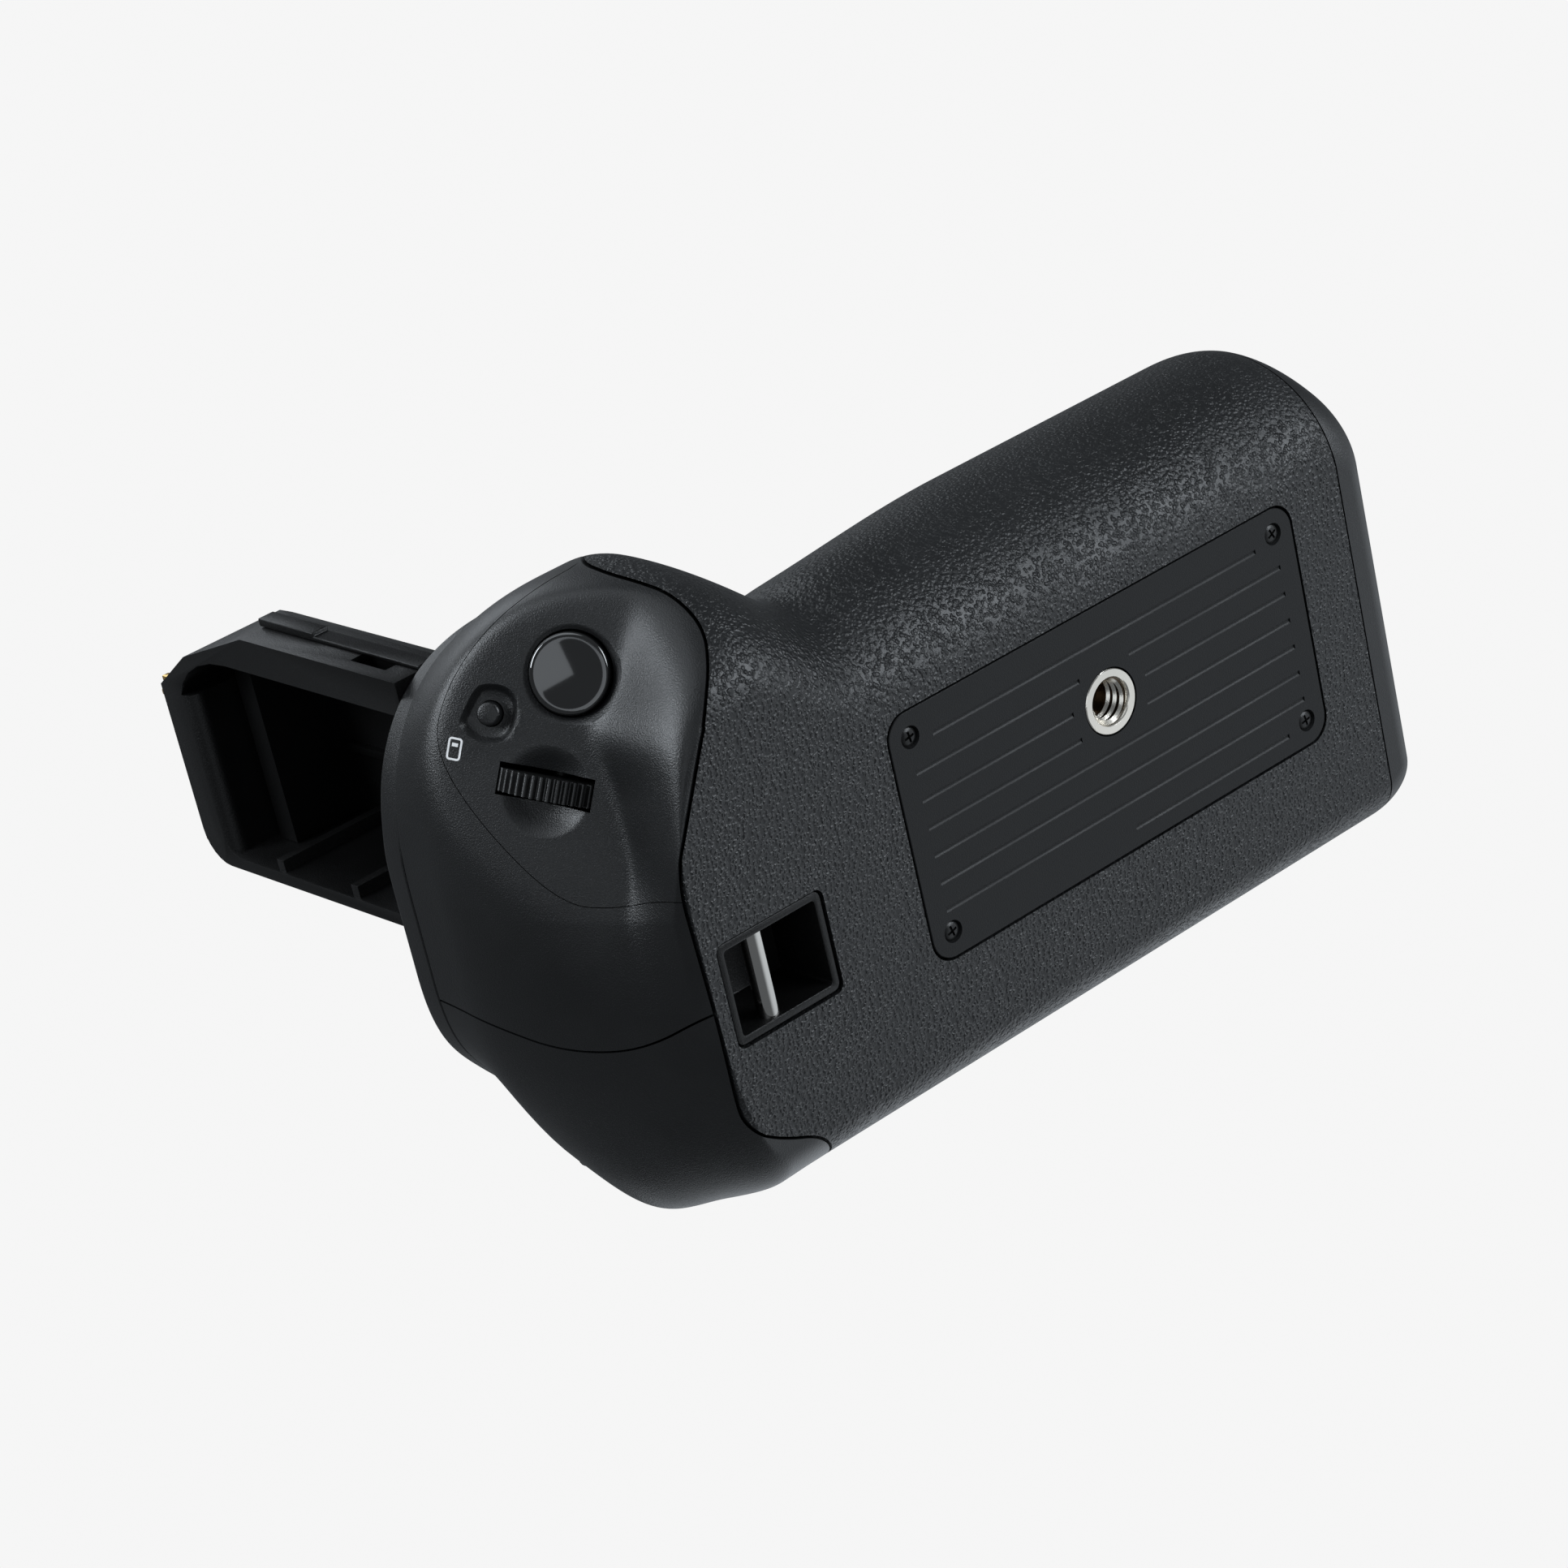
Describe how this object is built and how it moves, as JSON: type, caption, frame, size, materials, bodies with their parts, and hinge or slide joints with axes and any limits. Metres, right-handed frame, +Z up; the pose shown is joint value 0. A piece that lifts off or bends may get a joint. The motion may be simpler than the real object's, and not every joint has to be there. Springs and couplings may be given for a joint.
{
  "type": "camera battery grip",
  "caption": "Camera battery grip with a grooved tripod plate, pull-out battery magazine, battery-bay pillar, geared attachment screw and a second set of shutter controls.",
  "frame": {"origin": "centre of the tripod socket's mouth on the underside", "axes": "+X to the shutter end, +Y to the lens side, +Z up to the camera"},
  "size_m": [0.141, 0.0848, 0.1079],
  "materials": {
    "grained_shell": "grained",
    "satin_cover": "satin",
    "pillar_plastic": "fine matt",
    "inner_plastic": "moulded",
    "deck_rubber": "soft",
    "plate_enamel": "satin",
    "black_screw": "satin",
    "steel": "turned",
    "bronze": "turned",
    "gold": "polished",
    "shutter_gloss": "polished",
    "dial_plastic": "moulded",
    "board": "lacquered",
    "switch": "moulded"
  },
  "bodies": {
    "grip_body": {"bottom_shell": "grained_shell", "shell_front": "grained_shell", "shell_rear": "grained_shell", "shell_bridge": "grained_shell", "end_cover": "satin_cover", "control_panel": "satin_cover", "rear_cover": "satin_cover", "deck_plate": "satin_cover", "deck_pads": "deck_rubber", "magazine_sleeve": "inner_plastic", "sleeve_sides": "inner_plastic", "sleeve_back": "inner_plastic", "tripod_plate": "plate_enamel", "tripod_insert": "steel", "plate_screws": "black_screw", "strap_frame": "satin_cover", "strap_bar": "steel", "pillar": "pillar_plastic", "pillar_rail": "pillar_plastic", "pillar_contact_block": "pillar_plastic", "pillar_contacts": "gold", "deck_screws": "steel", "locating_pin": "steel", "screw_bush": "bronze", "wheel_axle": "steel", "bay_contacts": "gold", "circuit_board": "board", "control_carrier": "inner_plastic", "control_board": "board", "control_switches": "switch", "dial_axle": "steel", "rear_carrier": "inner_plastic", "rear_switches": "switch"},
    "wheel": {"drive_wheel": "dial_plastic"},
    "attachment": {"attachment_screw": "steel"},
    "magazine": {"magazine_tray": "inner_plastic", "tray_sides": "inner_plastic", "tray_partitions": "inner_plastic", "magazine_cap": "grained_shell", "tray_contacts": "gold", "knob_bush": "bronze"},
    "knob": {"release_knob": "satin_cover", "latch_tongue": "steel"},
    "shutter": {"shutter_button": "shutter_gloss"},
    "function": {"function_button": "satin_cover"},
    "dial": {"control_dial": "dial_plastic"},
    "rear_1": {"rear_button_1": "satin_cover"},
    "rear_2": {"rear_button_2": "satin_cover"},
    "rear_3": {"rear_button_3": "satin_cover"},
    "power": {"power_switch": "satin_cover"}
  },
  "joints": [
    {"name": "magazine_slide", "type": "slide", "parent": "grip_body", "child": "magazine", "axis": [-1, 0, 0], "range_m": [0, 0.084]},
    {"name": "knob_turn", "type": "hinge", "parent": "magazine", "child": "knob", "pos_m": [-0.0496, -0.0093, 0.0175], "axis": [-1, 0, 0], "range_deg": [0, 90]},
    {"name": "wheel_turn", "type": "hinge", "parent": "grip_body", "child": "wheel", "pos_m": [0, -0.026, 0.036], "axis": [0, 0, 1], "continuous": true},
    {"name": "attachment_turn", "type": "hinge", "parent": "grip_body", "child": "attachment", "pos_m": [0, 0, 0.036], "axis": [0, 0, 1], "continuous": true},
    {"name": "shutter_press", "type": "slide", "parent": "grip_body", "child": "shutter", "axis": [-0.7076, -0.3922, 0.5878], "range_m": [0, 0.001], "stiffness_N_per_m": 900},
    {"name": "function_press", "type": "slide", "parent": "grip_body", "child": "function", "axis": [-0.7076, -0.3922, 0.5878], "range_m": [0, 0.0007], "stiffness_N_per_m": 900},
    {"name": "dial_turn", "type": "hinge", "parent": "grip_body", "child": "dial", "pos_m": [0.07118, 0.01537, 0.02456], "axis": [0.4848, -0.8746, 0], "continuous": true},
    {"name": "rear_1_press", "type": "slide", "parent": "grip_body", "child": "rear_1", "axis": [0, 1, 0], "range_m": [0, 0.0006], "stiffness_N_per_m": 900},
    {"name": "rear_2_press", "type": "slide", "parent": "grip_body", "child": "rear_2", "axis": [0, 1, 0], "range_m": [0, 0.0006], "stiffness_N_per_m": 900},
    {"name": "rear_3_press", "type": "slide", "parent": "grip_body", "child": "rear_3", "axis": [0, 1, 0], "range_m": [0, 0.0006], "stiffness_N_per_m": 900},
    {"name": "power_slide", "type": "slide", "parent": "grip_body", "child": "power", "axis": [1, 0, 0], "range_m": [0, 0.003]}
  ],
  "couplings": [
    {"joint": "attachment_turn", "follows": "wheel_turn", "ratio": -1.6}
  ]
}
